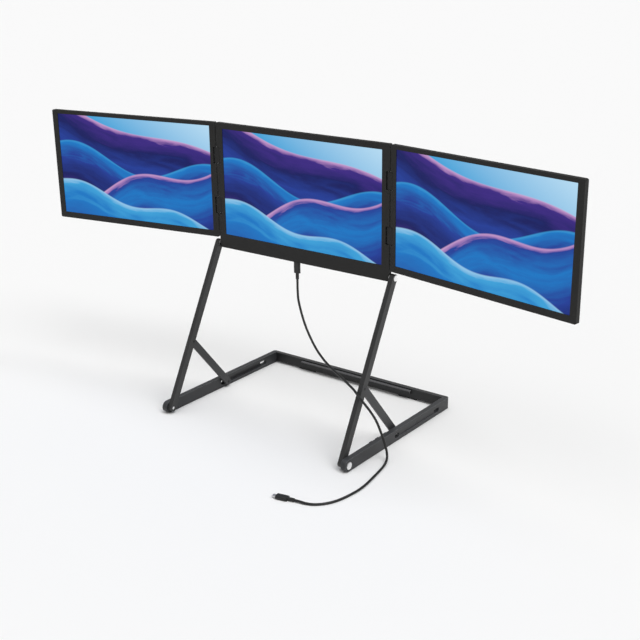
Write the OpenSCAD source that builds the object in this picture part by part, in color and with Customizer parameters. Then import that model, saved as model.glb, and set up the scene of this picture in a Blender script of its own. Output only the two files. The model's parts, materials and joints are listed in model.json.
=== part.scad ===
// Three-screen extender for a laptop: three slim displays on a folding stand.
// Origin: on the desk, under the middle of the base.  +X right, +Y rear, +Z up.  Millimetres.

/* [Display panels] */
// Lit width of each display, a 15.6-inch 16:9 panel
active_w = 344.2; // [280:0.1:430]
// Lit height of each display
active_h = 193.6; // [150:0.1:240]
// Border of the display panel around its lit area
lcd_margin = 2.6; // [1.5:0.1:3]
// Thickness of the display panel
lcd_t = 2.8; // [2:0.1:3.2]

/* [Screen casings] */
// Thickness of each screen, front to back
screen_t = 8; // [7:0.1:10]
// Front wall of the bezel, in front of the display panel
front_t = 0.8; // [0.6:0.1:1.2]
// Thickness of the back cover
back_t = 1.4; // [1.2:0.1:2]
// Side, top and bottom walls of the bezel
wall = 2; // [1.2:0.1:2.5]
// Rounding of a screen's corners
screen_corner_r = 3; // [1:0.5:6]
// Bezel width left and right of the centre display
centre_side = 15.9; // [15:0.1:20]
// Bezel height below the centre display
centre_chin = 26.5; // [20:0.5:32]
// Bezel height above the centre display
centre_brow = 10.7; // [9:0.1:18]
// Bezel width of a side screen, next to the centre screen
side_inner = 12.4; // [12:0.1:18]
// Bezel width of a side screen at its outer edge
side_outer = 12.4; // [12:0.1:18]
// Bezel height below a side display
side_chin = 11.5; // [10:0.1:18]
// Bezel height above a side display
side_brow = 7.3; // [7:0.1:14]
// Window edge beyond the lit area
reveal = 0.4; // [0.2:0.1:1]
// Bevel on the edges beside the screen hinges
edge_bevel = 1; // [0.8:0.1:1.2]

/* [Screen hinges] */
// Angle of each side screen towards the user, from flat
rest_fold = 10; // [0:1:30]
// Gap between two bezels when flat
hinge_gap = 2.2; // [2:0.1:4]
// Hinge axis inside the centre screen's edge
centre_axis_in = 4.5; // [4.2:0.1:6]
// Hinge axis inside the side screen's edge
side_axis_in = 2.5; // [2.4:0.1:4]
// Height of one hinge link
link_h = 29; // [20:1:36]
// Radius of a hinge link's round edges
link_r = 2.8; // [2.2:0.1:3]
// Distance between the two links of a screen, centre to centre
link_pitch = 92; // [80:1:110]
// Free height above and below a link
link_play = 1; // [0.3:0.1:2]
// Radius of a hinge pin
hinge_pin_r = 1; // [0.8:0.1:1.2]
// Length of a hinge pin held in the casing at each end
pin_grip = 6; // [4:0.5:8]

/* [Stand base] */
// Depth of the base, front to back
base_d = 328; // [290:1:400]
// Width of a rail
rail_t = 10; // [10:0.5:14]
// Height of the rails' top above the desk
rail_h = 22; // [22:0.5:30]
// Thickness of the rear wall
rear_t = 8; // [7:0.5:12]
// Height of the rear wall's lower face above that of the rails
rear_lift = 2; // [0:0.5:3]
// Rounding of the rear corners, seen from above
corner_r = 5; // [2:0.5:5]
// Length of the weight bar in front of the rear wall
ballast_len = 260; // [150:1:340]
// Depth of the weight bar
ballast_d = 5; // [5:0.5:14]
// Height of the weight bar
ballast_h = 6.5; // [6:0.5:16]
// Rubber feet standing below the frame
foot_proud = 1; // [0.5:0.1:1.5]

/* [Arms] */
// Length of an arm between its two pivots
arm_len = 319; // [260:0.5:400]
// Angle of the raised arms above the desk
arm_angle = 62.4; // [55:0.1:70]
// Angle of the folded arms above the desk
low_angle = 5; // [4.5:0.5:9]
// Width of an arm, seen from the side
arm_w = 13; // [12:0.5:16]
// Thickness of an arm, left to right
arm_t = 8.5; // [8:0.5:12]
// Gap between an arm and its rail
arm_gap = 0.5; // [0.5:0.1:1]
// Gap between an arm and the centre screen
tilt_gap = 1.5; // [1.2:0.1:3]
// Height of the tilt axis above the centre screen's lower edge
pivot_up = 7; // [5:0.5:8]

/* [Struts] */
// Distance along the arm from its lower pivot to the strut's pivot
strut_joint = 128; // [110:1:150]
// Strut pivot's set-back from the arm's middle line
strut_set = 3; // [3:0.1:4]
// Length of a strut between its pivot and its foot pin
strut_len = 146; // [125:1:165]
// Width of a strut
strut_w = 14; // [12:0.5:14]
// Thickness of a strut
strut_t = 4.5; // [3.5:0.1:4.5]
// Height of the foot track above the desk
track_z = 11; // [10:0.1:12.5]
// Play of the foot pin above and below it in the inner track
track_play = 2.6; // [2.6:0.1:3]
// Depth of the inner track
track_d = 6; // [5:0.5:6.5]
// Length of the track in front of the raised strut's foot pin
track_ahead = 11; // [0:1:20]

/* [Pins and caps] */
// Radius of the lower pivot pins
base_pin_r = 3; // [2.5:0.1:3.5]
// Radius of the silver caps on the rails
base_cap_r = 6.6; // [6:0.1:9]
// Radius of the tilt pins
top_pin_r = 2; // [1.5:0.1:2]
// Radius of the silver caps on the arms
top_cap_r = 5.4; // [5:0.1:6.4]
// Height of a silver cap
cap_h = 1.4; // [1:0.1:2]
// Radius of the strut pins and foot pins
strut_pin_r = 2.5; // [2:0.1:3]
// Running clearance round a turning pin
run_clear = 0.05; // [0.03:0.01:0.1]
// Clearance round a fixed pin or screw
seat_clear = 0.02; // [0.01:0.01:0.05]
// Gap between faces that move past each other
slide_gap = 0.3; // [0.2:0.05:0.5]

/* [USB-C] */
// Place of the data socket along the centre screen's lower edge
data_port_x = -10; // [-30:1:-8]
// Place of the power socket along the same edge
power_port_x = 25; // [10:1:50]
// Outer width of a socket's metal shell
socket_w = 8.94; // [8.9:0.01:9]
// Outer height of a socket's metal shell
socket_h = 3.26; // [3.2:0.01:3.3]
// Wall of the sheet-metal shells
shell_t = 0.3; // [0.2:0.05:0.3]
// Outer width of the plug's metal shell
plug_w = 8.25; // [8.2:0.01:8.3]
// Outer height of the plug's metal shell
plug_h = 2.4; // [2.3:0.01:2.45]
// Width of the plug's grip
grip_w = 12.3; // [11:0.1:14]
// Thickness of the plug's grip
grip_t = 6.6; // [5:0.1:8]
// Length of the plug's grip
grip_len = 20; // [16:0.5:28]
// Length of the strain relief behind the grip
relief_len = 11.5; // [8:0.1:20]
// Diameter of the cable
cord_d = 4.2; // [3:0.1:5]

/* [Buttons] */
// Radius of a button
button_r = 3; // [2.5:0.1:3.5]
// Travel of a button
button_travel = 0.5; // [0.3:0.1:0.6]
// Distance between buttons
button_pitch = 14; // [11:0.5:20]
// Place of the middle button along the centre screen's chin
button_x = 125; // [80:1:140]

/* [Hidden] */
$fn = 48;
cut = 1;                                  // overshoot of a cut past the face it opens

// Screens
centre_w = active_w + 2 * centre_side;
centre_h = active_h + centre_chin + centre_brow;
side_w = active_w + side_inner + side_outer;
side_h = active_h + side_chin + side_brow;
frame_t = screen_t - back_t;              // depth of the bezel moulding
link_span = centre_axis_in + hinge_gap + side_axis_in;
notch_clear = 0.4;                        // round a link, in its notch
knuckle_wall = 1.2;                       // behind a notch
knuckle_h = pin_grip + 2;
board_gap = 0.3;                          // board to display panel, and board to cover
board_t = 0.8;
chip_w = 12;
chip_shares = [0.2, 0.5, 0.8];            // places along a side screen's board
side_board_w = 110;
side_board_h = 46;
side_board_up = 6;                        // above the display's lower edge
centre_board_w = 120;
centre_board_h = 60;
centre_board_gap = 0.15;                  // board to cover
centre_chip_w = 14;
centre_chip_h = 1;
centre_chip_places = [-40, 0, 38];
centre_chip_up = 14;                      // above the display's lower edge

// Stand, across
arm_x0 = centre_w / 2 + tilt_gap;
arm_x1 = arm_x0 + arm_t;
rail_x0 = arm_x1 + arm_gap;
rail_x1 = rail_x0 + rail_t;
slot_share = 0.35;                        // part of the arm's free thickness outside the strut
slot_wall = (arm_t - strut_t - 2 * slide_gap) * slot_share;
strut_x1 = arm_x1 - slot_wall - slide_gap;
strut_x0 = strut_x1 - strut_t;

// Stand, from the side
rail_r = (rail_h - foot_proud) / 2;
pivot_y = rail_r - base_d / 2;
pivot_z = foot_proud + rail_r;
top_y = pivot_y + arm_len * cos(arm_angle);
top_z = pivot_z + arm_len * sin(arm_angle);
centre_z = top_z - pivot_up;
function joint_y(a) = pivot_y + strut_joint * cos(a) + strut_set * sin(a);
function joint_z(a) = pivot_z + strut_joint * sin(a) - strut_set * cos(a);
function strut_slope(a) = asin((joint_z(a) - track_z) / strut_len);
function foot_at(a) = joint_y(a) + strut_len * cos(strut_slope(a));
foot_y = foot_at(arm_angle);
track_ends = [foot_y - track_ahead, foot_at(low_angle)];
strut_end_r = strut_w / 2;
track_r = strut_pin_r + track_play;

// Height of the screen hinges above the side screens' lower edge, and of that edge above the desk
side_z = centre_z + centre_h - side_h;
link_heights = [side_h / 2 - link_pitch / 2, side_h / 2 + link_pitch / 2];
hinge_x = centre_w / 2 - centre_axis_in;

// Screw places on a screen's back: [x, z] from the screen's own corner
screw_in = 6;
screw_up = 14;
boss_r = 2.4;
boss_gap = 0.8;                           // boss to the wall below or above it
low_boss_z = wall + boss_r + boss_gap;
screw_r = 1;
screw_head_r = 1.9;
screw_head_h = 1;
screw_len = 4;
centre_screw_in = 7;
centre_screw_up = 30;                     // clear of the buttons' board
side_screw_z = [screw_up, side_h / 2, side_h - screw_up];
side_screw_places = [for (x = [screw_in, side_w - screw_in], z = side_screw_z) [x, z]];
centre_screw_z = [centre_screw_up, centre_h - side_h / 2, centre_h - screw_up];
centre_screw_x = centre_w / 2 - centre_screw_in;
centre_screw_places = concat(
  [for (x = [-centre_screw_x, centre_screw_x], z = centre_screw_z) [x, z]],
  [[0, low_boss_z], [0, centre_h - wall - boss_r - boss_gap]]);

// Rubber feet: [x, y, length along x, length along y]
pad_w = 7;
pad_len = 42;
pad_set = 1.5;                            // depth of a pad's pocket
front_pad_in = 45;
back_pad_in = 50;
rail_pad_y = [-base_d / 2 + front_pad_in, base_d / 2 - back_pad_in];
rear_pad_x = [-120, 120];
rear_pad_w = 5;

// USB-C
socket_len = 7.3;
plug_gap = 0.5;                           // grip to the socket's edge
plug_len = 6.6;                           // shell in front of the grip
plug_root = 1;                            // shell inside the grip
socket_tongue_w = 6.6;
socket_tongue_t = 0.7;
socket_tongue_in = 1;                     // behind the socket's mouth
flat_end = 0.01;                          // flat left at each end of a round-ended outline
relief_wall = 0.9;                        // relief's wall round the cable, at its thin end
grip_round = 0.4;                         // corner radius as a part of the grip's thickness
relief_in = 0.2;                          // step from the grip to the relief
host_plug_at = [167.2, -291.3, grip_t / 2];
host_plug_turn = 10.5;

// Free cable, from the plug under the centre screen to the plug on the desk
cord_points = [
  [-10, -5.7, 255.1], [-10, -5.7, 246], [-9.5, -6.2, 234], [-7.5, -7.2, 217.5], [-1.5, -8.8, 199.5],
  [9.3, -13.8, 182.2], [26.2, -22.8, 165.4], [50.2, -33.8, 146.5], [75.2, -45.8, 135.5],
  [100, -57.8, 129.5], [125, -70.8, 127], [148, -83.8, 126], [168, -95.8, 125], [184, -104.8, 123.4],
  [194, -109.8, 119.8], [201.5, -110.8, 113.8], [206, -105.8, 104.3], [212, -96.8, 88.3],
  [219, -89.8, 70.3], [225.5, -85.2, 49], [231, -81.8, 28.2], [235, -81.8, 13.2], [239.3, -88.5, 5.6],
  [244.5, -103.5, 2.7], [249, -123.8, 2.2], [254.5, -154, 2.2], [258.6, -181.5, 2.2], [258.7, -208, 2.2],
  [253.7, -240.4, 2.2], [244, -262.5, 2.2], [230.5, -276.5, 2.2], [218, -282, 2.5], [207.5, -283.9, 3.2],
  [198.5, -285.5, 3.3]
];
cord_steps = 2;                           // rings per stretch between two points
cord_sides = 8;
desk_gap = 0.02;

bezel_tone = [0.18, 0.18, 0.18];
back_tone = [0.22, 0.22, 0.23];
metal_tone = [0.28, 0.28, 0.29];
strut_tone = [0.3, 0.3, 0.31];
silver_tone = [0.85, 0.85, 0.86];
black_tone = [0.07, 0.07, 0.07];
board_tone = [0.05, 0.25, 0.15];
screen_tone = [0.25, 0.55, 0.9];

// ---- Helpers ----

// Flat outline in X and Z, extruded from y0 back to y1
module plate_y(y0, y1) {
  translate([0, y1, 0]) rotate([90, 0, 0]) linear_extrude(y1 - y0) children();
}

// Rectangle with round corners, its lower left corner at [x, y]
module round_rect(x, y, w, h, r) {
  translate([x + r, y]) square([w - 2 * r, h]);
  translate([x, y + r]) square([w, h - 2 * r]);
  for (i = [x + r, x + w - r], j = [y + r, y + h - r]) translate([i, j]) circle(r);
}

// Cylinder along X from x0 to x1
module rod_x(x0, x1, r) {
  translate([x0, 0, 0]) rotate([0, 90, 0]) cylinder(r = r, h = x1 - x0);
}

// Bar along X with round ends in Y, from y0 to y1
module track_x(x0, x1, y0, y1, r) {
  translate([0, y0, 0]) rod_x(x0, x1, r);
  translate([0, y1, 0]) rod_x(x0, x1, r);
  translate([x0, y0, -r]) cube([x1 - x0, y1 - y0, 2 * r]);
}

// Round-ended outline, w wide and h high, round its middle
module slot_outline(w, h) round_rect(-w / 2, -h / 2, w, h, min(w, h) / 2 - flat_end);

module pair() {
  children();
  mirror([1, 0, 0]) children();
}

module at_base_pivot() translate([0, pivot_y, pivot_z]) children();
module at_top_pivot() translate([0, top_y, top_z]) children();
module on_arm() at_base_pivot() rotate([arm_angle - 90, 0, 0]) children();
module on_strut() {
  translate([0, joint_y(arm_angle), joint_z(arm_angle)])
    rotate([90 - strut_slope(arm_angle), 0, 0]) children();
}
module at_foot() translate([0, foot_y, track_z]) children();

// Centre screen: x = 0 in its middle, y = 0 at its front, z = 0 at its lower edge
module on_centre() translate([0, top_y - screen_t / 2, centre_z]) children();

// Right link: z axis through the centre screen's hinge pins, x towards the side screen
module on_link() translate([hinge_x, top_y, side_z]) rotate([0, 0, -rest_fold / 2]) children();

// Right screen: x = 0 at its inner edge, y = 0 at its front, z = 0 at its lower edge
module on_side() {
  on_link() translate([link_span, 0, 0]) rotate([0, 0, -rest_fold / 2])
    translate([-side_axis_in, -screen_t / 2, 0]) children();
}

// ---- Screen casings ----

// Moulding with its window and the room behind it; its lower left corner is at x = x0
module bezel_shell(x0, w, h, lit_x, lit_z) {
  difference() {
    plate_y(0, frame_t) round_rect(x0, 0, w, h, screen_corner_r);
    plate_y(-cut, frame_t)
      translate([lit_x - reveal, lit_z - reveal]) square([active_w + 2 * reveal, active_h + 2 * reveal]);
    plate_y(front_t, frame_t + cut) translate([x0 + wall, wall]) square([w - 2 * wall, h - 2 * wall]);
  }
}

// Solid beside a link's notch, from the screen's edge at x = 0 inwards (towards -x)
module knuckle(axis_in) {
  depth = axis_in + link_r + notch_clear + knuckle_wall;
  half = link_h / 2 + link_play + knuckle_h;
  translate([-depth, 0, -half]) cube([depth, frame_t, 2 * half]);
}

// Notch for a link, and the holes for its pin, at an edge at x = 0
module notch_cut(axis_in) {
  depth = axis_in + link_r + notch_clear;
  half = link_h / 2 + link_play;
  translate([-depth, -cut, -half]) cube([depth + cut, screen_t + 2 * cut, 2 * half]);
  translate([-axis_in, screen_t / 2, -half - pin_grip])
    cylinder(r = hinge_pin_r + seat_clear, h = 2 * (half + pin_grip));
}

// Bevels along both upright edges at x = 0
module bevel_cut(h) {
  for (y = [0, screen_t]) translate([0, y, h / 2]) rotate([0, 0, 45])
    cube([edge_bevel * sqrt(2), edge_bevel * sqrt(2), h + 2 * cut], center = true);
}

module screw_bosses(places) {
  for (p = places) translate([p[0], frame_t, p[1]]) rotate([90, 0, 0])
    cylinder(r = boss_r, h = frame_t - front_t);
}

module screw_holes(places) {
  for (p = places) translate([p[0], frame_t + cut, p[1]]) rotate([90, 0, 0])
    cylinder(r = screw_r + seat_clear, h = screw_len + cut + board_gap);
}

module screws_at(places) {
  for (p = places) translate([p[0], screen_t, p[1]]) rotate([90, 0, 0]) {
    cylinder(r = screw_head_r, h = screw_head_h);
    cylinder(r = screw_r, h = back_t + screw_len);
  }
}

module cover_plate(x0, w, h, places) {
  difference() {
    plate_y(frame_t, screen_t) round_rect(x0, 0, w, h, screen_corner_r);
    for (p = places) translate([p[0], screen_t + cut, p[1]]) rotate([90, 0, 0]) {
      cylinder(r = screw_head_r + seat_clear, h = screw_head_h + cut);
      cylinder(r = screw_r + seat_clear, h = back_t + 2 * cut);
    }
  }
}

module display_panel(lit_x, lit_z) {
  plate_y(front_t, front_t + lcd_t) translate([lit_x - lcd_margin, lit_z - lcd_margin])
    square([active_w + 2 * lcd_margin, active_h + 2 * lcd_margin]);
}

// Board with its chips on the rear face, lower left corner at [x, z]
module driver_board(x, z, w, h) {
  y0 = front_t + lcd_t + board_gap;
  chip = frame_t - y0 - board_t - board_gap;
  translate([x, y0, z]) cube([w, board_t, h]);
  for (i = chip_shares) translate([x + i * w - chip_w / 2, y0 + board_t, z + h / 2 - chip_w / 2])
    cube([chip_w, chip, chip_w]);
}

// ---- Centre screen ----

link_rise = centre_h - side_h;            // side screen's lower edge above the centre screen's
centre_link_heights = [for (z = link_heights) z + link_rise];

module centre_edges() {
  pair() translate([centre_w / 2, 0, 0]) {
    for (z = centre_link_heights) translate([0, 0, z]) notch_cut(centre_axis_in);
    bevel_cut(centre_h);
  }
}

module socket_cut(x) {
  w = socket_w + 2 * board_gap;
  h = socket_h + 2 * board_gap;
  translate([x, screen_t / 2, -cut]) linear_extrude(wall + 2 * cut) slot_outline(w, h);
}

module centre_bezel() color(bezel_tone) on_centre() {
  difference() {
    union() {
      bezel_shell(-centre_w / 2, centre_w, centre_h, -active_w / 2, centre_chin);
      pair() for (z = centre_link_heights) translate([centre_w / 2, 0, z]) knuckle(centre_axis_in);
      screw_bosses(centre_screw_places);
    }
    centre_edges();
    screw_holes(centre_screw_places);
    pair() translate([0, screen_t / 2, pivot_up])
      rod_x(centre_w / 2 - wall - cut, centre_w / 2 + cut, top_pin_r + slide_gap);
    socket_cut(data_port_x);
    socket_cut(power_port_x);
  }
}

module centre_display() color(screen_tone) on_centre() display_panel(-active_w / 2, centre_chin);

button_places = [button_x - button_pitch, button_x, button_x + button_pitch];
button_z = wall + (centre_chin - lcd_margin - wall) / 2;
button_clear = 0.15;
button_proud = 0.6;
flange_h = 0.6;
flange_gap = 0.1;                         // flange to cover, and pressed flange to switch
flange_r = button_r + 0.9;

module centre_back_cover() color(back_tone) on_centre() {
  difference() {
    cover_plate(-centre_w / 2, centre_w, centre_h, centre_screw_places);
    centre_edges();
    for (x = button_places) translate([x, screen_t + cut, button_z]) rotate([90, 0, 0])
      cylinder(r = button_r + button_clear, h = back_t + 2 * cut);
  }
}

module centre_driver_board() color(board_tone) on_centre() {
  y1 = frame_t - centre_board_gap;
  y0 = screen_t / 2 + socket_h / 2;
  difference() {
    translate([-centre_board_w / 2, y0, wall + board_gap]) cube([centre_board_w, y1 - y0, centre_board_h]);
    translate([0, frame_t, low_boss_z]) rotate([90, 0, 0]) cylinder(r = boss_r + board_gap, h = frame_t);
  }
  for (x = centre_chip_places)
    translate([x - centre_chip_w / 2, y0 - centre_chip_h, centre_chin + centre_chip_up])
      cube([centre_chip_w, centre_chip_h, centre_chip_w]);
}

// One socket with its tongue; opening at z = 0, facing down
module usb_socket() {
  difference() {
    linear_extrude(socket_len) slot_outline(socket_w, socket_h);
    translate([0, 0, -cut]) linear_extrude(socket_len - shell_t + cut)
      slot_outline(socket_w - 2 * shell_t, socket_h - 2 * shell_t);
  }
  translate([-socket_tongue_w / 2, -socket_tongue_t / 2, socket_tongue_in])
    cube([socket_tongue_w, socket_tongue_t, socket_len - socket_tongue_in - shell_t / 2]);
}

module centre_usb_sockets() color(silver_tone) on_centre() {
  for (x = [data_port_x, power_port_x]) translate([x, screen_t / 2, board_gap]) usb_socket();
}

bracket_w = 12;
bracket_h = 12;
bracket_gap = 0.2;

module tilt_bracket() on_centre() {
  x1 = centre_w / 2 - wall - bracket_gap;
  y0 = front_t + bracket_gap;
  difference() {
    translate([x1 - bracket_w, y0, wall + bracket_gap / 2])
      cube([bracket_w, frame_t - bracket_gap - y0, bracket_h]);
    translate([0, screen_t / 2, pivot_up]) rod_x(x1 - bracket_w - cut, x1 + cut, top_pin_r + run_clear);
  }
}

module right_tilt_bracket() color(silver_tone) tilt_bracket();
module left_tilt_bracket() color(silver_tone) mirror([1, 0, 0]) tilt_bracket();
module centre_screws() color(metal_tone) on_centre() screws_at(centre_screw_places);

pin_end_gap = 0.1;

module pins_at(heights) {
  half = link_h / 2 + link_play + pin_grip - pin_end_gap;
  for (z = heights) translate([0, 0, z - half]) cylinder(r = hinge_pin_r, h = 2 * half);
}

module centre_hinge_pins() color(silver_tone) {
  pair() translate([hinge_x, top_y, side_z]) pins_at(link_heights);
}

key_board_gap = 1.2;                      // front wall to the buttons' board
key_board_side = 6;                       // board beyond the outer buttons
key_board_y = front_t + key_board_gap;
switch_w = 5;
switch_h = frame_t - flange_h - button_travel - 2 * flange_gap - key_board_y - board_t;

module button_board() color(board_tone) on_centre() {
  w = 2 * (button_pitch + key_board_side);
  translate([button_x - w / 2, key_board_y, wall + board_gap])
    cube([w, board_t, centre_chin - lcd_margin - wall - 2 * board_gap]);
}

module button_switches() color(black_tone) on_centre() {
  for (x = button_places) translate([x - switch_w / 2, key_board_y + board_t, button_z - switch_w / 2])
    cube([switch_w, switch_h, switch_w]);
}

module push_button(i) on_centre() {
  translate([button_places[i], screen_t + button_proud, button_z]) rotate([90, 0, 0])
    cylinder(r = button_r, h = button_proud + back_t + flange_gap + flange_h);
  translate([button_places[i], frame_t - flange_gap, button_z]) rotate([90, 0, 0])
    cylinder(r = flange_r, h = flange_h);
}

module power_button() color(black_tone) push_button(0);
module brightness_down_button() color(black_tone) push_button(1);
module brightness_up_button() color(black_tone) push_button(2);

// ---- Side screens and their links ----

module side_edges() {
  mirror([1, 0, 0]) {
    for (z = link_heights) translate([0, 0, z]) notch_cut(side_axis_in);
    bevel_cut(side_h);
  }
}

module side_bezel() on_side() {
  difference() {
    union() {
      bezel_shell(0, side_w, side_h, side_inner, side_chin);
      mirror([1, 0, 0]) for (z = link_heights) translate([0, 0, z]) knuckle(side_axis_in);
      screw_bosses(side_screw_places);
    }
    side_edges();
    screw_holes(side_screw_places);
  }
}

module side_cover() on_side() {
  difference() {
    cover_plate(0, side_w, side_h, side_screw_places);
    side_edges();
  }
}

module side_display() on_side() display_panel(side_inner, side_chin);
module side_board() on_side()
  driver_board((side_w - side_board_w) / 2, side_chin + side_board_up, side_board_w, side_board_h);
module side_screws() on_side() screws_at(side_screw_places);
module side_pins() on_side() translate([side_axis_in, screen_t / 2, 0]) pins_at(link_heights);

module hinge_links() on_link() {
  for (z = link_heights) translate([0, 0, z - link_h / 2]) difference() {
    union() {
      cylinder(r = link_r, h = link_h);
      translate([link_span, 0, 0]) cylinder(r = link_r, h = link_h);
      translate([0, -link_r, 0]) cube([link_span, 2 * link_r, link_h]);
    }
    for (x = [0, link_span]) translate([x, 0, -cut])
      cylinder(r = hinge_pin_r + run_clear, h = link_h + 2 * cut);
  }
}

module right_bezel() color(bezel_tone) side_bezel();
module right_display() color(screen_tone) side_display();
module right_back_cover() color(back_tone) side_cover();
module right_driver_board() color(board_tone) side_board();
module right_screws() color(metal_tone) side_screws();
module right_hinge_pins() color(silver_tone) side_pins();
module right_hinge_links() color(black_tone) hinge_links();
module left_bezel() color(bezel_tone) mirror([1, 0, 0]) side_bezel();
module left_display() color(screen_tone) mirror([1, 0, 0]) side_display();
module left_back_cover() color(back_tone) mirror([1, 0, 0]) side_cover();
module left_driver_board() color(board_tone) mirror([1, 0, 0]) side_board();
module left_screws() color(metal_tone) mirror([1, 0, 0]) side_screws();
module left_hinge_pins() color(silver_tone) mirror([1, 0, 0]) side_pins();
module left_hinge_links() color(black_tone) mirror([1, 0, 0]) hinge_links();

// ---- Base ----

pad_clear = 0.1;
tenon_len = 6;
tenon_in = 1.5;                           // tenon's set-back from the rear wall's faces
tenon_z = 6;                              // tenon's set-back from the rear wall's edges
frame_screw_r = 1.5;
frame_screw_len = 12;
frame_head_r = 2 * frame_screw_r;
frame_head_h = 2;
screw_end_gap = 0.5;
frame_screw_y = base_d / 2 - rear_t / 2;
frame_screw_x = rail_x0 + tenon_len / 2;
recess_d = 1.6;                           // outer strip of the track
recess_r = 3.5;
end_hole_r = 4.2;
end_hole_len = 8;                         // between the middles of a hole's round ends
mark_hole_r = 1.6;
mark_hole_d = 1.2;                        // below the strip
rib_places = [-78, -60, -36];
rib_w = 3;
rib_len = 8;
rib_h = 1.2;

module pad_cut(w, l) {
  translate([0, 0, foot_proud - cut]) linear_extrude(pad_set + cut)
    slot_outline(w + 2 * pad_clear, l + 2 * pad_clear);
}

module rail() {
  h = 2 * rail_r;
  difference() {
    union() {
      at_base_pivot() rod_x(rail_x0, rail_x1, rail_r);
      translate([rail_x0, pivot_y, foot_proud]) cube([rail_t, base_d / 2 - corner_r - pivot_y, h]);
      translate([rail_x0, pivot_y, foot_proud]) cube([rail_t - corner_r, base_d / 2 - pivot_y, h]);
      translate([rail_x1 - corner_r, base_d / 2 - corner_r, foot_proud]) cylinder(r = corner_r, h = h);
      for (y = rib_places) translate([rail_x0, y - rib_len / 2, rail_h - cut])
        cube([rib_w, rib_len, cut + rib_h]);
    }
    at_base_pivot() rod_x(rail_x0 - cut, rail_x1 + cut, base_pin_r + seat_clear);
    translate([0, 0, track_z]) {
      track_x(rail_x0 - cut, rail_x0 + track_d, track_ends[0], track_ends[1], track_r);
      track_x(rail_x1 - recess_d, rail_x1 + cut, track_ends[0], track_ends[1], recess_r);
      for (y = track_ends)
        track_x(rail_x0 + track_d - cut, rail_x1, y - end_hole_len / 2, y + end_hole_len / 2, end_hole_r);
      translate([0, (track_ends[0] + track_ends[1]) / 2, 0])
        rod_x(rail_x1 - recess_d - mark_hole_d, rail_x1, mark_hole_r);
    }
    for (y = rail_pad_y) translate([rail_x0 + rail_t / 2, y, 0]) pad_cut(pad_w, pad_len);
    translate([rail_x0 - cut, base_d / 2 - rear_t + tenon_in - pad_clear, foot_proud + tenon_z - pad_clear])
      cube([tenon_len + pad_clear + cut, rear_t - 2 * (tenon_in - pad_clear), h - 2 * (tenon_z - pad_clear)]);
    translate([frame_screw_x, frame_screw_y, 0]) {
      cylinder(r = frame_screw_r + seat_clear, h = foot_proud + tenon_z + cut);
      cylinder(r = frame_head_r + pad_clear, h = foot_proud + frame_head_h);
    }
  }
}

module right_rail() color(metal_tone) rail();
module left_rail() color(metal_tone) mirror([1, 0, 0]) rail();

module frame_screws() color(silver_tone) pair() translate([frame_screw_x, frame_screw_y, foot_proud]) {
  cylinder(r = frame_head_r, h = frame_head_h);
  cylinder(r = frame_screw_r, h = frame_screw_len);
}

ballast_up = 11;                          // above the frame's lower face
ballast_bevel = 2;
ballast_thread = ballast_d - 1;
ballast_screw_in = 20;
ballast_z = foot_proud + ballast_up;
ballast_screw_x = ballast_len / 2 - ballast_screw_in;
ballast_screw_z = ballast_z + ballast_h / 2;

module rear_bar() color(metal_tone) {
  h = 2 * rail_r;
  difference() {
    union() {
      translate([-rail_x0, base_d / 2 - rear_t, foot_proud + rear_lift])
        cube([2 * rail_x0, rear_t, h - rear_lift]);
      translate([-rail_x0 - tenon_len, base_d / 2 - rear_t + tenon_in, foot_proud + tenon_z])
        cube([2 * (rail_x0 + tenon_len), rear_t - 2 * tenon_in, h - 2 * tenon_z]);
    }
    pair() translate([frame_screw_x, frame_screw_y, 0])
      cylinder(r = frame_screw_r + seat_clear, h = foot_proud + frame_screw_len + screw_end_gap);
    for (x = rear_pad_x) translate([x, base_d / 2 - rear_t / 2, rear_lift]) pad_cut(pad_len, rear_pad_w);
    pair() translate([ballast_screw_x, base_d / 2 + cut, ballast_screw_z]) rotate([90, 0, 0]) {
      cylinder(r = frame_screw_r + seat_clear, h = rear_t + 2 * cut);
      cylinder(r = frame_head_r + pad_clear, h = frame_head_h + cut);
    }
  }
}

module ballast_bar() color(black_tone) {
  y1 = base_d / 2 - rear_t;
  difference() {
    translate([-ballast_len / 2, y1 - ballast_d, ballast_z]) cube([ballast_len, ballast_d, ballast_h]);
    translate([0, y1 - ballast_d, ballast_z + ballast_h]) rotate([45, 0, 0])
      cube([ballast_len + 2 * cut, ballast_bevel, ballast_bevel], center = true);
    pair() translate([ballast_screw_x, y1 + cut, ballast_screw_z]) rotate([90, 0, 0])
      cylinder(r = frame_screw_r + seat_clear, h = ballast_thread + cut);
  }
}

module ballast_screws() color(silver_tone) {
  pair() translate([ballast_screw_x, base_d / 2, ballast_screw_z]) rotate([90, 0, 0]) {
    cylinder(r = frame_head_r, h = frame_head_h);
    cylinder(r = frame_screw_r, h = rear_t + ballast_thread - screw_end_gap);
  }
}

module rubber_feet() color(black_tone) {
  h = foot_proud + pad_set;
  pair() for (y = rail_pad_y) translate([rail_x0 + rail_t / 2, y, 0])
    linear_extrude(h) slot_outline(pad_w, pad_len);
  for (x = rear_pad_x) translate([x, base_d / 2 - rear_t / 2, 0])
    linear_extrude(h + rear_lift) slot_outline(pad_len, rear_pad_w);
}

// ---- Pivot pins ----

cap_bevel_w = 0.8;
cap_bevel_h = 0.5;
pin_inset = 1;                            // hidden end of a pin, behind the face of what holds it

// Silver cap with a bevelled rim, on a face at x = 0
module cap(r) {
  rod_x(0, cap_h - cap_bevel_h, r);
  translate([cap_h - cap_bevel_h, 0, 0]) rotate([0, 90, 0])
    cylinder(r1 = r, r2 = r - cap_bevel_w, h = cap_bevel_h);
}

module base_pin() at_base_pivot() {
  rod_x(arm_x0 + pin_inset, rail_x1, base_pin_r);
  translate([rail_x1, 0, 0]) cap(base_cap_r);
}

module right_base_pin() color(silver_tone) base_pin();
module left_base_pin() color(silver_tone) mirror([1, 0, 0]) base_pin();

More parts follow.
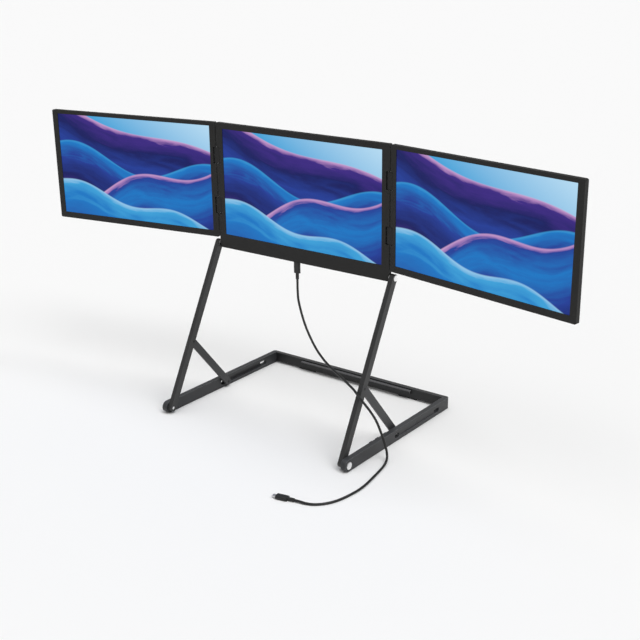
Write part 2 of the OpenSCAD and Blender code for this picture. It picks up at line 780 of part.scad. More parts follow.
module ring_x(x0, x1, r_out, r_in) {
  difference() {
    rod_x(x0, x1, r_out);
    rod_x(x0 - cut, x1 + cut, r_in);
  }
}

washer_gap = 0.05;
washer_r = arm_w / 2 - 1;

module base_washers() color(black_tone) {
  pair() at_base_pivot()
    ring_x(arm_x1 + washer_gap, rail_x0 - washer_gap, washer_r, base_pin_r + washer_gap);
}

module tilt_washers() color(black_tone) {
  pair() at_top_pivot()
    ring_x(centre_w / 2 + 2 * washer_gap, arm_x0, washer_r, top_pin_r + washer_gap);
}

module tilt_pin() at_top_pivot() {
  rod_x(centre_w / 2 - wall - bracket_gap - bracket_w + pin_inset, arm_x1, top_pin_r);
  translate([arm_x1, 0, 0]) cap(top_cap_r);
}

module right_tilt_pin() color(silver_tone) tilt_pin();
module left_tilt_pin() color(silver_tone) mirror([1, 0, 0]) tilt_pin();

// ---- Arms and struts ----

// The strut folds into a slot that is open to the arm's rear side; a window in the outer wall
// shows the strut's round end
slot_room = 4;                            // slot beyond the strut's round end
slot_low = strut_end_r + slot_room;
window_in = 1;
strut_pin_gap = 0.2;                      // pin's end behind a face
foot_pin_gap = 1;                         // foot pin's end to the track's floor
slot_high = (arm_w / 2 + strut_end_r + slide_gap - strut_set) / sin(low_angle + strut_slope(low_angle));
window_low = 6;
window_high = 5;

module arm() on_arm() {
  half = arm_w / 2;
  slot_y = strut_set - strut_end_r - slide_gap;
  difference() {
    union() {
      rod_x(arm_x0, arm_x1, half);
      translate([0, 0, arm_len]) rod_x(arm_x0, arm_x1, half);
      translate([arm_x0, -half, 0]) cube([arm_t, arm_w, arm_len]);
    }
    rod_x(arm_x0 - cut, arm_x1 + cut, base_pin_r + run_clear);
    translate([0, 0, arm_len]) rod_x(arm_x0 - cut, arm_x1 + cut, top_pin_r + seat_clear);
    translate([strut_x0 - slide_gap, slot_y, strut_joint - slot_low])
      cube([strut_t + 2 * slide_gap, arm_w, slot_low + slot_high]);
    translate([strut_x1, slot_y + window_in, strut_joint - window_low])
      cube([arm_t, arm_w, window_low + window_high]);
    translate([0, strut_set, strut_joint]) rod_x(arm_x0 - cut, strut_x0, strut_pin_r + seat_clear);
  }
}

module right_arm() color(metal_tone) arm();
module left_arm() color(metal_tone) mirror([1, 0, 0]) arm();

module strut() on_strut() {
  difference() {
    union() {
      rod_x(strut_x0, strut_x1, strut_end_r);
      translate([0, 0, -strut_len]) rod_x(strut_x0, strut_x1, strut_end_r);
      translate([strut_x0, -strut_end_r, -strut_len]) cube([strut_t, strut_w, strut_len]);
    }
    rod_x(strut_x0 - cut, strut_x1 + cut, strut_pin_r + run_clear);
    translate([0, 0, -strut_len]) rod_x(strut_x0 - cut, strut_x1 + cut, strut_pin_r + seat_clear);
  }
}

module right_strut() color(strut_tone) strut();
module left_strut() color(strut_tone) mirror([1, 0, 0]) strut();

module strut_pins() color(silver_tone) {
  pair() on_arm() translate([0, strut_set, strut_joint])
    rod_x(arm_x0 + strut_pin_gap, strut_x1 - strut_pin_gap, strut_pin_r);
}

module foot_pins() color(silver_tone) {
  pair() at_foot() rod_x(strut_x0 + strut_pin_gap, rail_x0 + track_d - foot_pin_gap, strut_pin_r);
}

// ---- Cable ----

// Plug with its grip's front at z = 0, pointing up
module plug_shell() {
  difference() {
    translate([0, 0, -plug_root]) linear_extrude(plug_len + plug_root) slot_outline(plug_w, plug_h);
    linear_extrude(plug_len + cut) slot_outline(plug_w - 2 * shell_t, plug_h - 2 * shell_t);
  }
}

module plug_grip() {
  difference() {
    translate([0, 0, -grip_len]) linear_extrude(grip_len)
      round_rect(-grip_w / 2, -grip_t / 2, grip_w, grip_t, grip_t * grip_round);
    translate([0, 0, -plug_root]) linear_extrude(plug_root + cut) slot_outline(plug_w, plug_h);
  }
  translate([0, 0, -grip_len - relief_len])
    cylinder(r1 = cord_d / 2 + relief_wall, r2 = grip_t / 2 - relief_in, h = relief_len);
}

module on_screen_plug() translate([data_port_x, top_y, centre_z - plug_gap]) children();
module on_host_plug() translate(host_plug_at) rotate([0, 0, host_plug_turn]) rotate([90, 0, -90]) children();

module screen_plug_shell() color(silver_tone) on_screen_plug() plug_shell();
module screen_plug_grip() color(black_tone) on_screen_plug() plug_grip();
module host_plug_shell() color(silver_tone) on_host_plug() plug_shell();
module host_plug_grip() color(black_tone) on_host_plug() plug_grip();

function unit(v) = v / norm(v);
function curve(a, b, c, d, t) = 0.5 * (2 * b + (c - a) * t + (2 * a - 5 * b + 4 * c - d) * t * t
  + (3 * b - a - 3 * c + d) * t * t * t);
last_point = len(cord_points) - 1;
function route(i) = i < 0 ? 2 * cord_points[0] - cord_points[1]
  : i > last_point ? 2 * cord_points[last_point] - cord_points[last_point - 1] : cord_points[i];
function above_desk(p) = [p[0], p[1], max(p[2], cord_d / 2 + desk_gap)];
cord_path = concat(
  [for (i = [0 : last_point - 1], k = [0 : cord_steps - 1])
    above_desk(curve(route(i - 1), route(i), route(i + 1), route(i + 2), k / cord_steps))],
  [route(last_point)]);
side_ref = unit([1, 1, 1.4]);             // never along the cable

module usb_cable() color(black_tone) {
  n = len(cord_path);
  heads = [for (i = [0 : n - 1]) unit(cord_path[min(i + 1, n - 1)] - cord_path[max(i - 1, 0)])];
  points = [for (i = [0 : n - 1]) let (u = unit(cross(heads[i], side_ref)), v = cross(heads[i], u))
    for (k = [0 : cord_sides - 1]) let (a = 360 * k / cord_sides)
      cord_path[i] + cord_d / 2 * (cos(a) * u + sin(a) * v)];
  sides = [for (i = [0 : n - 2], k = [0 : cord_sides - 1])
    let (a = i * cord_sides + k, b = i * cord_sides + (k + 1) % cord_sides)
      for (f = [[a, a + cord_sides, b + cord_sides], [a, b + cord_sides, b]]) f];
  first = [for (k = [1 : cord_sides - 2]) [0, k, k + 1]];
  end = (n - 1) * cord_sides;
  last = [for (k = [1 : cord_sides - 2]) [end, end + k + 1, end + k]];
  polyhedron(points, concat(sides, first, last));
}

left_rail();
right_rail();
rear_bar();
ballast_bar();
ballast_screws();
frame_screws();
rubber_feet();
left_base_pin();
right_base_pin();
base_washers();
left_arm();
right_arm();
left_tilt_pin();
right_tilt_pin();
tilt_washers();
strut_pins();
left_strut();
right_strut();
foot_pins();
centre_bezel();
centre_display();
centre_back_cover();
centre_driver_board();
centre_usb_sockets();
left_tilt_bracket();
right_tilt_bracket();
centre_screws();
centre_hinge_pins();
button_board();
button_switches();
power_button();
brightness_up_button();
brightness_down_button();
left_hinge_links();
right_hinge_links();
left_bezel();
left_display();
left_back_cover();
left_driver_board();
left_screws();
left_hinge_pins();
right_bezel();
right_display();
right_back_cover();
right_driver_board();
right_screws();
right_hinge_pins();
screen_plug_shell();
screen_plug_grip();
usb_cable();
host_plug_shell();
host_plug_grip();
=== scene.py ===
"""Looks for a laptop screen extender: three screens on a folding stand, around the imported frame."""
import json
import math

import bmesh
import bpy
from mathutils import Matrix, Vector


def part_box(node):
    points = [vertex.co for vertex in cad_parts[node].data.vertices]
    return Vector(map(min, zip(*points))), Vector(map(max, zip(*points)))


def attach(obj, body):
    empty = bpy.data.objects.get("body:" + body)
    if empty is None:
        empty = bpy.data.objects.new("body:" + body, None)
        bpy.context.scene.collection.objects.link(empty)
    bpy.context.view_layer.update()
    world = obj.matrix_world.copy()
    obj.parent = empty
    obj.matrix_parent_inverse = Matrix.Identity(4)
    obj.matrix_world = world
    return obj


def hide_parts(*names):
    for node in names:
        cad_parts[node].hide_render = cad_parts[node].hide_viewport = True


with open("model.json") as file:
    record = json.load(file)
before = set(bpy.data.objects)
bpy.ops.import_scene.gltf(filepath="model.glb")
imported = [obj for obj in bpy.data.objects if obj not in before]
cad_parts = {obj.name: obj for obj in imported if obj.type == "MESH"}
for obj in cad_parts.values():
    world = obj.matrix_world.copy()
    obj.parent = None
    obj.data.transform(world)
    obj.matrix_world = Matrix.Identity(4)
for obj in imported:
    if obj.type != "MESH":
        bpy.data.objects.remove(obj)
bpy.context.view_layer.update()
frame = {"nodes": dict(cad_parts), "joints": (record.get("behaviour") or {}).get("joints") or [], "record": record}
nodes = frame["nodes"]
body_of = {n: b for b, names in frame["record"]["behaviour"]["bodies"].items() for n in names}
joint_at = {j["name"]: j.get("pos_m") for j in frame["joints"]}
MM = 0.001


def link(piece):
    """Puts a new object into the scene."""
    bpy.context.scene.collection.objects.link(piece)
    return piece


# ---- Camera ----

IMAGE_PX = 640
SENSOR_MM = 36
FOCAL_PX = 1125.4
CAMERA_YAW = math.radians(37.393)
CAMERA_PITCH = math.radians(19.633)
CAMERA_ROLL = math.radians(-0.746)
# In metres; the last two move the camera across its view
CAMERA_DISTANCE = 2.0193
CAMERA_RIGHT = 0.0281
CAMERA_UP = -0.0206
CLIP_END = 50
LOOK_AT = Vector((0, 0, 0.2))


def make_camera():
    back = Vector((math.sin(CAMERA_YAW) * math.cos(CAMERA_PITCH),
                   -math.cos(CAMERA_YAW) * math.cos(CAMERA_PITCH), math.sin(CAMERA_PITCH)))
    level = (-back).cross(Vector((0, 0, 1))).normalized()
    upright = level.cross(-back)
    right = level * math.cos(CAMERA_ROLL) + upright * math.sin(CAMERA_ROLL)
    up = upright * math.cos(CAMERA_ROLL) - level * math.sin(CAMERA_ROLL)
    place = LOOK_AT + back * CAMERA_DISTANCE + right * CAMERA_RIGHT + up * CAMERA_UP
    data = bpy.data.cameras.new("camera")
    data.sensor_fit = "HORIZONTAL"
    data.sensor_width = SENSOR_MM
    data.lens = FOCAL_PX / IMAGE_PX * SENSOR_MM
    data.clip_end = CLIP_END
    camera = link(bpy.data.objects.new("camera", data))
    camera.matrix_world = Matrix((
        (right.x, up.x, back.x, place.x), (right.y, up.y, back.y, place.y),
        (right.z, up.z, back.z, place.z), (0, 0, 0, 1)))
    bpy.context.scene.camera = camera


make_camera()

# ---- Cable ----

CABLE_DIAMETER = 4.2 * MM
# The points of part.scad's cable, in millimetres there and in metres here
CABLE_ROUTE = [Vector(p) * MM for p in (
    (-10, -5.7, 255.1), (-10, -5.7, 246), (-9.5, -6.2, 234), (-7.5, -7.2, 217.5), (-1.5, -8.8, 199.5),
    (9.3, -13.8, 182.2), (26.2, -22.8, 165.4), (50.2, -33.8, 146.5), (75.2, -45.8, 135.5),
    (100, -57.8, 129.5), (125, -70.8, 127), (148, -83.8, 126), (168, -95.8, 125), (184, -104.8, 123.4),
    (194, -109.8, 119.8), (201.5, -110.8, 113.8), (206, -105.8, 104.3), (212, -96.8, 88.3),
    (219, -89.8, 70.3), (225.5, -85.2, 49), (231, -81.8, 28.2), (235, -81.8, 13.2), (239.3, -88.5, 5.6),
    (244.5, -103.5, 2.7), (249, -123.8, 2.2), (254.5, -154, 2.2), (258.6, -181.5, 2.2),
    (258.7, -208, 2.2), (253.7, -240.4, 2.2), (244, -262.5, 2.2), (230.5, -276.5, 2.2),
    (218, -282, 2.5), (207.5, -283.9, 3.2), (198.5, -285.5, 3.3))]


def make_cable():
    """A round tube along a smooth curve through the route's points."""
    curve = bpy.data.curves.new("cable", "CURVE")
    curve.dimensions = "3D"
    curve.bevel_depth = CABLE_DIAMETER / 2
    curve.bevel_resolution = 6
    curve.resolution_u = 10
    curve.use_fill_caps = True
    last = len(CABLE_ROUTE) - 1
    spline = curve.splines.new("BEZIER")
    spline.bezier_points.add(last)
    for i, (knot, here) in enumerate(zip(spline.bezier_points, CABLE_ROUTE)):
        before = CABLE_ROUTE[i - 1] if i else 2 * here - CABLE_ROUTE[1]
        after = CABLE_ROUTE[i + 1] if i < last else 2 * here - CABLE_ROUTE[last - 1]
        knot.handle_left_type = knot.handle_right_type = "FREE"
        knot.co = here
        knot.handle_left = here - (after - before) / 6
        knot.handle_right = here + (after - before) / 6
    return link(bpy.data.objects.new("cable", curve))


def route_length(steps=20):
    """Length of the curve that make_cable draws, in metres."""
    total, here = 0.0, CABLE_ROUTE[0]
    for i in range(len(CABLE_ROUTE) - 1):
        b, c = CABLE_ROUTE[i], CABLE_ROUTE[i + 1]
        a = CABLE_ROUTE[i - 1] if i else 2 * b - c
        d = CABLE_ROUTE[i + 2] if i + 2 < len(CABLE_ROUTE) else 2 * c - b
        for k in range(1, steps + 1):
            t = k / steps
            there = 0.5 * (2 * b + (c - a) * t + (2 * a - 5 * b + 4 * c - d) * t ** 2
                           + (3 * b - a - 3 * c + d) * t ** 3)
            total += (there - here).length
            here = there
    return total


cable = make_cable()

# ---- Materials ----


EDGE_GAIN = 7.0        # makes the slight turn of the normal near an edge into a full 1
LEVEL_EDGE = 0.5       # wear and painted highlight of an edge that faces sideways; more above it, where the light from above falls, less below
UPWARD_EDGE = 0.8
TOP_LIGHT_PATCHES = 60      # noise scales, per metre
EDGE_PATCHES = 240
TONE_PATCHES = 22
GRAIN_SHARE = 0.4      # of the grain in the tone; the patches have the rest
GLOSS_DRIFT = 0.06
WORN_GLOSS = 0.1


class Shader:
    """A node tree with one Principled shader and short calls that add nodes to it."""

    def __init__(self, name, color, roughness, metallic=0.0, specular=0.5):
        self.material = bpy.data.materials.new(name)
        self.material.use_nodes = True
        self.tree = self.material.node_tree
        self.shader = self.tree.nodes["Principled BSDF"]
        self.set("Base Color", (*color, 1))
        self.set("Roughness", roughness)
        self.set("Metallic", metallic)
        self.set("Specular IOR Level", specular)
        self.place = self.add("ShaderNodeTexCoord").outputs["Object"]

    def set(self, socket, value):
        self.shader.inputs[socket].default_value = value

    def add(self, kind, **values):
        node = self.tree.nodes.new(kind)
        for key, value in values.items():
            setattr(node, key, value)
        return node

    def link(self, start, end):
        self.tree.links.new(start, end)

    def wire(self, node, values):
        for key, value in values.items():
            if isinstance(value, bpy.types.NodeSocket):
                self.link(value, node.inputs[key])
            else:
                node.inputs[key].default_value = value
        return node

    def math(self, operation, a, b=0.0, c=0.0, clamp=False):
        node = self.add("ShaderNodeMath", operation=operation, use_clamp=clamp)
        return self.wire(node, {0: a, 1: b, 2: c}).outputs[0]

    def noise(self, scale, detail=2.0, roughness=0.5, place=None, distortion=0.0):
        node = self.add("ShaderNodeTexNoise")
        return self.wire(node, {"Vector": place or self.place, "Scale": scale, "Detail": detail,
                                "Roughness": roughness, "Distortion": distortion}).outputs["Fac"]

    def ramp(self, factor, stops):
        node = self.add("ShaderNodeValToRGB")
        elements = node.color_ramp.elements
        for element, (at, color) in zip(elements, (stops[0], stops[-1])):
            element.position = at
            element.color = (*color, 1)
        for at, color in stops[1:-1]:
            elements.new(at).color = (*color, 1)
        self.link(factor, node.inputs["Fac"])
        return node.outputs["Color"]

    def mix(self, factor, a, b):
        node = self.add("ShaderNodeMix", data_type="RGBA")
        return self.wire(node, {0: factor, 6: a, 7: b}).outputs[2]

    def bump(self, height, strength, distance):
        node = self.add("ShaderNodeBump")
        self.wire(node, {"Strength": strength, "Distance": distance, "Height": height})
        self.link(node.outputs["Normal"], self.shader.inputs["Normal"])

    def range(self, factor, low, high):
        node = self.add("ShaderNodeMapRange")
        return self.wire(node, {"Value": factor, "To Min": low, "To Max": high}).outputs["Result"]

    def facing_up(self):
        """1 on level upper faces, 0 on upright and lower ones, broken up by noise."""
        split = self.add("ShaderNodeSeparateXYZ")
        self.link(self.add("ShaderNodeNewGeometry").outputs["Normal"], split.inputs["Vector"])
        upper = self.math("MULTIPLY", split.outputs["Z"], 1.0, clamp=True)
        return self.math("MULTIPLY", upper, self.range(self.noise(TOP_LIGHT_PATCHES, 4, 0.6), 0.6, 1.0))

    def worn_and_lit_edges(self, radius_mm):
        """Worn paint and painted highlight: 1 where a sharp edge is near, less where it faces down, away from the
        light, 0 on open faces; broken up by noise.
        """
        rounded = self.add("ShaderNodeBevel", samples=4)
        rounded.inputs["Radius"].default_value = radius_mm * MM
        normal = self.add("ShaderNodeNewGeometry").outputs["Normal"]
        facing = self.add("ShaderNodeVectorMath", operation="DOT_PRODUCT")
        self.wire(facing, {0: rounded.outputs["Normal"], 1: normal})
        bend = self.math("SUBTRACT", 1.0, facing.outputs["Value"])
        edge = self.math("MULTIPLY", bend, EDGE_GAIN, clamp=True)
        split = self.add("ShaderNodeSeparateXYZ")
        self.link(rounded.outputs["Normal"], split.inputs["Vector"])
        upper = self.math("MULTIPLY_ADD", split.outputs["Z"], UPWARD_EDGE, LEVEL_EDGE, clamp=True)
        edge = self.math("MULTIPLY", edge, upper)
        return self.math("MULTIPLY", edge, self.range(self.noise(EDGE_PATCHES, 3, 0.6), 0.4, 1.0))


def shade(color, factor):
    return tuple(min(1.0, c * factor) for c in color)


def grained(name, color, roughness, grain, variation=0.12, metallic=0.0, specular=0.5, wear_and_highlight=None,
            top_light=0.0):
    """A moulded or coated surface with fine grain and a slow drift in tone and gloss.

    grain: size and depth in mm; for the edges, how much paler they are, partly worn paint and partly a painted
    highlight, and their width in mm;
    for the level upper faces, how much paler they are painted, a painted light from above.
    """
    grain_mm, depth_mm = grain
    s = Shader(name, color, roughness, metallic, specular)
    relief = s.noise(1 / (grain_mm * MM), 3, 0.6)
    drift = s.noise(TONE_PATCHES, 4, 0.55)
    tone = s.math("ADD", s.math("MULTIPLY", relief, GRAIN_SHARE),
                  s.math("MULTIPLY", drift, 1 - GRAIN_SHARE))
    shown = s.ramp(tone, [(0.3, shade(color, 1 - variation)), (0.7, shade(color, 1 + variation))])
    gloss = s.range(drift, roughness - GLOSS_DRIFT, roughness + GLOSS_DRIFT)
    # painted light: the level upper faces are painted paler, as if lit from above
    if top_light:
        shown = s.mix(s.facing_up(), shown, (*shade(color, 1 + top_light), 1))
    # the edges are painted paler: partly worn paint, partly a painted highlight where they catch the light
    if wear_and_highlight:
        paler, width_mm = wear_and_highlight
        edge = s.worn_and_lit_edges(width_mm)
        shown = s.mix(edge, shown, (*shade(color, 1 + paler), 1))
        gloss = s.math("SUBTRACT", gloss, s.math("MULTIPLY", edge, WORN_GLOSS))
    s.link(shown, s.shader.inputs["Base Color"])
    s.link(gloss, s.shader.inputs["Roughness"])
    s.bump(relief, 0.35, depth_mm * MM)
    return s.material


RING_PITCH = 0.35 * MM


def turned(name, color, roughness, centre):
    """Metal turned on a lathe about a line along X: fine rings round the centre."""
    s = Shader(name, color, roughness, 1.0)
    offset = s.add("ShaderNodeVectorMath", operation="SUBTRACT")
    s.wire(offset, {0: s.place, 1: (0, centre[1], centre[2])})
    flat = s.add("ShaderNodeVectorMath", operation="MULTIPLY")
    s.wire(flat, {0: offset.outputs[0], 1: (0, 1, 1)})
    distance = s.add("ShaderNodeVectorMath", operation="LENGTH")
    s.link(flat.outputs[0], distance.inputs[0])
    ring = s.math("SINE", s.math("MULTIPLY", distance.outputs["Value"], 2 * math.pi / RING_PITCH))
    s.bump(ring, 0.25, 0.01 * MM)
    worn = s.noise(900, 3, 0.6)
    s.link(s.range(worn, roughness - 0.05, roughness + 0.08), s.shader.inputs["Roughness"])
    return s.material


def brushed(name, color, roughness, stretch):
    """Metal with fine scratches along one way."""
    s = Shader(name, color, roughness, 1.0)
    mapping = s.add("ShaderNodeMapping")
    s.link(s.place, mapping.inputs["Vector"])
    mapping.inputs["Scale"].default_value = stretch
    lines = s.noise(400, 4, 0.7, mapping.outputs["Vector"])
    s.link(s.range(lines, roughness - 0.08, roughness + 0.1), s.shader.inputs["Roughness"])
    s.bump(lines, 0.2, 0.02 * MM)
    return s.material


BOARD_GREEN = (0.02, 0.12, 0.06)
BOARD_DARK = (0.015, 0.09, 0.045)
BOARD_TRACK = (0.25, 0.2, 0.06)


def circuit_board(name):
    """A green board with a fine net of tracks."""
    s = Shader(name, BOARD_GREEN, 0.45)
    tracks = s.add("ShaderNodeTexBrick")
    s.wire(tracks, {"Vector": s.place, "Scale": 260, "Color1": (*BOARD_GREEN, 1),
                    "Color2": (*BOARD_DARK, 1), "Mortar": (*BOARD_TRACK, 1), "Mortar Size": 0.03})
    s.link(tracks.outputs["Color"], s.shader.inputs["Base Color"])
    s.bump(tracks.outputs["Fac"], 0.3, 0.05 * MM)
    return s.material


RAIL = grained("rail_coat", (0.03, 0.031, 0.033), 0.42, (0.35, 0.02), 0.08, specular=0.35,
               wear_and_highlight=(4.5, 1.2), top_light=0.8)
# the rails' coat painted darker, as painted shade on the rear bar's front, with painted light on its top face and
# edges
REAR_SHADED = grained("rear_coat_painted_shade", (0.0215, 0.0217, 0.0225), 0.42, (0.35, 0.02), 0.08, specular=0.3,
               wear_and_highlight=(7.0, 1.3), top_light=1.6)
ARM = grained("arm_coat", (0.038, 0.038, 0.038), 0.42, (0.35, 0.02), 0.08, specular=0.3, wear_and_highlight=(0.9, 0.8))
STRUT = grained("strut_coat", (0.038, 0.038, 0.04), 0.42, (0.35, 0.02), 0.08, specular=0.35,
                wear_and_highlight=(0.6, 0.7))
# the rails' coat painted darker, as painted shade on the ballast bar's front, with a strong painted highlight
# along its upper edge and top
WEIGHT_SHADED = grained("weight_coat_painted_shade", (0.022, 0.022, 0.023), 0.5, (0.5, 0.03), specular=0.25,
                 wear_and_highlight=(12.0, 2.4), top_light=5.0)
BEZEL = grained("bezel_plastic", (0.0235, 0.0232, 0.0225), 0.5, (0.22, 0.02), 0.08, specular=0.15,
                wear_and_highlight=(2.6, 0.9))
COVER = grained("cover_anodised", (0.03, 0.03, 0.032), 0.38, (0.18, 0.01), 0.08, metallic=0.5,
                specular=0.4, wear_and_highlight=(0.9, 0.5))
LINK = grained("link_coat", (0.015, 0.015, 0.015), 0.4, (0.3, 0.015), specular=0.2, wear_and_highlight=(1.2, 0.5))
RUBBER = grained("foot_rubber", (0.015, 0.015, 0.015), 0.8, (0.5, 0.06))
WASHER = grained("washer_plastic", (0.02, 0.02, 0.02), 0.5, (0.3, 0.01))
BUTTON = grained("button_plastic", (0.025, 0.025, 0.026), 0.35, (0.2, 0.01), wear_and_highlight=(1.0, 0.3))
CABLE = grained("cable_skin", (0.012, 0.012, 0.012), 0.45, (0.25, 0.02), specular=0.4)
GRIP = grained("grip_plastic", (0.014, 0.014, 0.014), 0.42, (0.2, 0.02), specular=0.4, wear_and_highlight=(1.2, 0.5))
PIN = brushed("pin_steel", (0.62, 0.62, 0.63), 0.32, (0.05, 1, 1))
SHELL = brushed("plug_shell", (0.72, 0.72, 0.73), 0.28, (1, 1, 0.05))
SCREW = brushed("screw_steel", (0.2, 0.2, 0.205), 0.35, (1, 0.05, 1))
BOARD = circuit_board("circuit_board")
BASE_CAP = turned("base_cap_steel", (0.9, 0.9, 0.9), 0.3, joint_at["arm_fold"])
TOP_CAP = turned("top_cap_steel", (0.9, 0.9, 0.9), 0.3, joint_at["panel_tilt"])

# ---- Picture on the displays ----

LIT_W = 344.2 * MM
LIT_H = 193.6 * MM
ASPECT = LIT_W / LIT_H
DEEP = (0.006, 0.01, 0.11)
ROYAL = (0.014, 0.045, 0.3)
BRIGHT = (0.008, 0.18, 0.54)
CYAN = (0.045, 0.35, 0.68)
PALE = (0.36, 0.62, 0.84)
HAZE = (0.46, 0.7, 0.88)
PINK = (0.42, 0.22, 0.5)
ROSE = (0.66, 0.4, 0.64)
PLUM = (0.045, 0.02, 0.22)
# Each fold of the picture, back to front: height at the left, slope, swell, waves across, start of
# the wave, and its colours from the crest down
FOLDS = (
    (1.12, -0.42, 0.06, 0.9, 2.6,
     ((0.0, ROSE), (0.03, PINK), (0.07, PLUM), (0.3, DEEP), (0.6, ROYAL), (1.0, DEEP))),
    (0.64, -0.12, 0.12, 1.1, 0.9, ((0.0, CYAN), (0.04, BRIGHT), (0.25, ROYAL), (0.6, DEEP), (1.0, PLUM))),
    (0.12, 0.5, 0.09, 1.2, 4.1,
     ((0.0, ROSE), (0.035, PINK), (0.08, ROYAL), (0.35, BRIGHT), (0.7, ROYAL), (1.0, DEEP))),
    (0.34, -0.32, 0.05, 1.6, 0.2, ((0.0, PALE), (0.07, CYAN), (0.3, BRIGHT), (1.0, ROYAL))),
)
FOLD_EDGE = 0.012      # softness of a fold's edge, as a share of the picture's height
SILK = 0.16            # strength of the fine ripples
BROAD = 3.2 * SILK     # strength of the broad ones
ALONG = 1.1            # how often the ripples change across the picture and down a fold
DOWN = 5.5
APART = 3.7            # step in the noise from one fold to the next
CREST_FADE = 8.0       # how soon below the crest the ripples reach full strength
TONE_REACH = 1.6       # how soon below the crest the colours run through


def display(name, corner, turn):
    """A lit display: soft silk-like folds under a pale sky, black outside the lit area."""
    s = Shader(name, (0.003, 0.003, 0.003), 0.35, 0.0, 0.1)
    mapping = s.add("ShaderNodeMapping", vector_type="TEXTURE")
    s.link(s.place, mapping.inputs["Vector"])
    mapping.inputs["Location"].default_value = corner
    mapping.inputs["Rotation"].default_value = (0, 0, turn)
    mapping.inputs["Scale"].default_value = (LIT_W, 1, LIT_H)
    split = s.add("ShaderNodeSeparateXYZ")
    s.link(mapping.outputs["Vector"], split.inputs["Vector"])
    u, v = split.outputs["X"], split.outputs["Z"]
    sky = s.math("ADD", s.math("MULTIPLY", v, 0.5), s.math("MULTIPLY", u, 0.5))
    picture = s.ramp(sky, [(0.15, BRIGHT), (0.6, CYAN), (1.0, HAZE)])
    for i, (start, slope, swell, waves, phase, colors) in enumerate(FOLDS):
        bend = s.math("SINE", s.math("MULTIPLY_ADD", u, 2 * math.pi * waves, phase))
        crest = s.math("ADD", s.math("MULTIPLY_ADD", u, slope, start), s.math("MULTIPLY", bend, swell))
        depth = s.math("SUBTRACT", crest, v)
        along = s.add("ShaderNodeCombineXYZ")
        s.wire(along, {"X": s.math("MULTIPLY", u, ALONG * ASPECT), "Y": s.math("MULTIPLY", depth, DOWN),
                       "Z": APART * i})
        silk = s.noise(1.6, 3, 0.5, along.outputs["Vector"], 0.6)
        fine = s.noise(5.0, 4, 0.55, along.outputs["Vector"], 0.9)
        ripple = s.math("MULTIPLY", s.math("SUBTRACT", silk, 0.5), BROAD)
        ripple = s.math("MULTIPLY_ADD", s.math("SUBTRACT", fine, 0.5), SILK, ripple)
        fade = s.math("MULTIPLY", depth, CREST_FADE, clamp=True)
        shown = s.math("MULTIPLY_ADD", ripple, fade, s.math("MULTIPLY", depth, TONE_REACH))
        tone = s.ramp(shown, colors)
        inside = s.math("DIVIDE", depth, FOLD_EDGE, clamp=True)
        picture = s.mix(inside, picture, tone)
    lit = None
    for axis in (u, v):
        near = s.math("GREATER_THAN", axis, 0.0)
        far = s.math("LESS_THAN", axis, 1.0)
        both = s.math("MULTIPLY", near, far)
        lit = both if lit is None else s.math("MULTIPLY", lit, both)
    picture = s.mix(lit, (0, 0, 0, 1), picture)
    s.link(picture, s.shader.inputs["Emission Color"])
    s.set("Emission Strength", 1.0)
    return s.material


# ---- Softened copies of the CAD shapes ----


FLAT_AREA = 40 * MM * MM           # faces larger than this are shaded flat
SAME_POINT = 0.002 * MM            # corners nearer than this are joined
FLAT_ANGLE = math.radians(0.4)     # faces that meet at less are one face
BEVEL_ANGLE = math.radians(34)     # edges that turn more than this are rounded off
SHARP_ANGLE = math.radians(35)     # edges that turn more than this are shaded sharp


def smooth(mesh):
    """Smooth shading on the small faces of rounded edges; large faces stay flat, without a gradient."""
    if "custom_normal" in mesh.attributes:
        mesh.attributes.remove(mesh.attributes["custom_normal"])
    mesh.set_sharp_from_angle(angle=SHARP_ANGLE)
    mesh.polygons.foreach_set("use_smooth", [p.area < FLAT_AREA for p in mesh.polygons])


def finish_piece(piece, material, node):
    """The piece stands for the node, on its body and in its material slot."""
    piece.data.materials.clear()
    piece.data.materials.append(material)
    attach(piece, body_of[node])
    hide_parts(node)
    return piece


def clean_copy(node):
    """The node's mesh with joined corners and whole flat faces."""
    bm = bmesh.new()
    bm.from_mesh(nodes[node].data)
    bmesh.ops.remove_doubles(bm, verts=bm.verts, dist=SAME_POINT)
    bmesh.ops.dissolve_limit(bm, angle_limit=FLAT_ANGLE, verts=bm.verts, edges=bm.edges)
    return bm


def soften(node, material, width_mm):
    """The node with its sharp edges rounded off by width_mm."""
    bm = clean_copy(node)
    sharp = [e for e in bm.edges if len(e.link_faces) == 2 and e.calc_face_angle(0) > BEVEL_ANGLE]
    bmesh.ops.bevel(bm, geom=sharp, offset=width_mm * MM, segments=3, profile=0.5,
                    affect="EDGES", clamp_overlap=True)
    mesh = bpy.data.meshes.new(node + "_soft")
    bm.to_mesh(mesh)
    bm.free()
    smooth(mesh)
    return finish_piece(link(bpy.data.objects.new(node + "_soft", mesh)), material, node)


def carry_over(node, material):
    """The CAD shape as it is, with a better material."""
    nodes[node].data.materials.clear()
    nodes[node].data.materials.append(material)


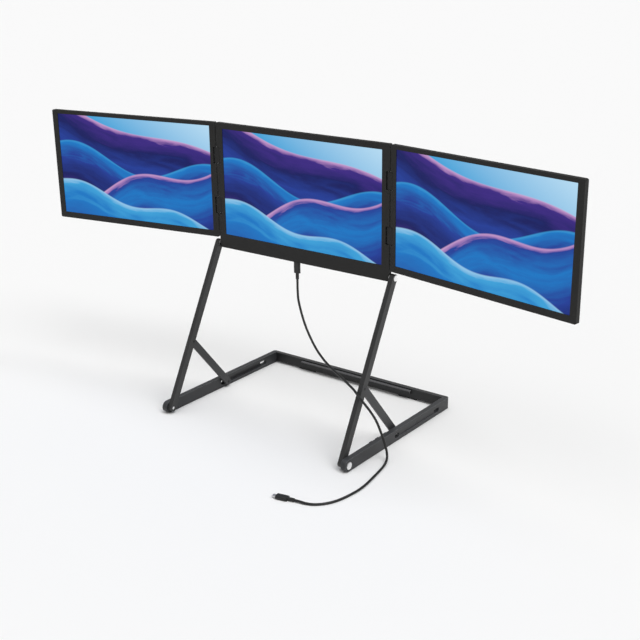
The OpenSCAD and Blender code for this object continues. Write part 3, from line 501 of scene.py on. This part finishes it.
for side in ("left", "right"):
    soften(side + "_rail", RAIL, 0.8)
    soften(side + "_arm", ARM, 0.7)
    soften(side + "_strut", STRUT, 0.6)
    soften(side + "_bezel", BEZEL, 0.6)
    soften(side + "_back_cover", COVER, 0.4)
    soften(side + "_hinge_links", LINK, 0.4)
    carry_over(side + "_base_pin", BASE_CAP)
    carry_over(side + "_tilt_pin", TOP_CAP)
    carry_over(side + "_tilt_bracket", PIN)
    carry_over(side + "_driver_board", BOARD)
    carry_over(side + "_screws", SCREW)
    carry_over(side + "_hinge_pins", PIN)
soften("rear_bar", REAR_SHADED, 0.8)
soften("ballast_bar", WEIGHT_SHADED, 0.5)
soften("centre_bezel", BEZEL, 0.6)
soften("centre_back_cover", COVER, 0.4)
soften("rubber_feet", RUBBER, 0.3)
soften("screen_plug_grip", GRIP, 0.5)
soften("host_plug_grip", GRIP, 0.5)
for name in ("power", "brightness_up", "brightness_down"):
    carry_over(name + "_button", BUTTON)
for name in ("ballast_screws", "frame_screws", "centre_screws"):
    carry_over(name, SCREW)
for name in ("centre_hinge_pins", "tilt_washers"):
    carry_over(name, PIN)
for name in ("strut_pins", "foot_pins"):
    carry_over(name, LINK)
for name in ("centre_usb_sockets", "screen_plug_shell", "host_plug_shell"):
    carry_over(name, SHELL)
for name in ("centre_driver_board", "button_board"):
    carry_over(name, BOARD)
carry_over("base_washers", WASHER)
carry_over("button_switches", BUTTON)

# ---- Displays ----

FOLD = math.radians(10)    # turn of a side screen
MARGIN = 2.6 * MM          # from a display's edge to its lit area
PANEL_T = 2.8 * MM         # thickness of a display


def lit_corner(node, turn):
    """Front lower left corner of the lit area of a display that is turned about Z."""
    low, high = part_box(node)
    x = low.x + PANEL_T * max(0.0, math.sin(turn))
    y = low.y if turn >= 0 else high.y - PANEL_T * math.cos(turn)
    return (x + MARGIN * math.cos(turn), y + MARGIN * math.sin(turn), low.z + MARGIN)


for name, turn in (("left", FOLD), ("centre", 0.0), ("right", -FOLD)):
    carry_over(name + "_display", display(name + "_picture", lit_corner(name + "_display", turn), turn))

# ---- The cable's own piece ----

cable.data.materials.append(CABLE)
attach(cable, "base")
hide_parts("usb_cable")
route_length()

# ---- Stage ----


WHITE = 0.956          # linear value of the background
FLOOR = 80.0           # side of the floor, in metres


def make_floor():
    """A wide sheet of pale paper."""
    mesh = bpy.data.meshes.new("floor")
    half = FLOOR / 2
    corners = [(-half, -half, 0), (half, -half, 0), (half, half, 0), (-half, half, 0)]
    mesh.from_pydata(corners, [], [(0, 1, 2, 3)])
    floor = link(bpy.data.objects.new("floor", mesh))
    s = Shader("floor_paper", (0.93, 0.93, 0.93), 1.0, 0.0, 0.0)
    s.bump(s.noise(900, 2, 0.5), 0.05, 0.02 * MM)
    mesh.materials.append(s.material)


def make_sun(name, source, strength, spread):
    """A soft light from far away, shining from the direction of source."""
    data = bpy.data.lights.new(name, "SUN")
    data.energy = strength
    data.angle = math.radians(spread)
    lamp = link(bpy.data.objects.new(name, data))
    lamp.location = source
    lamp.rotation_euler = Vector(source).to_track_quat("Z", "Y").to_euler()


def make_world(strength):
    """Even light from all round; the white of the backdrop where it is seen directly."""
    world = bpy.data.worlds.new("studio")
    bpy.context.scene.world = world
    world.use_nodes = True
    tree = world.node_tree
    background = tree.nodes["Background"]
    background.inputs["Color"].default_value = (1, 1, 1, 1)
    path = tree.nodes.new("ShaderNodeLightPath")
    level = tree.nodes.new("ShaderNodeMapRange")
    level.inputs["To Min"].default_value = strength
    level.inputs["To Max"].default_value = WHITE
    tree.links.new(path.outputs["Is Camera Ray"], level.inputs["Value"])
    tree.links.new(level.outputs["Result"], background.inputs["Strength"])


make_floor()
make_world(0.345)
make_sun("key", (1.6, -0.1, 2.4), 1.75, 44)
make_sun("top", (-0.2, -0.5, 2.5), 0.7, 60)
bpy.context.scene.view_settings.view_transform = "Standard"
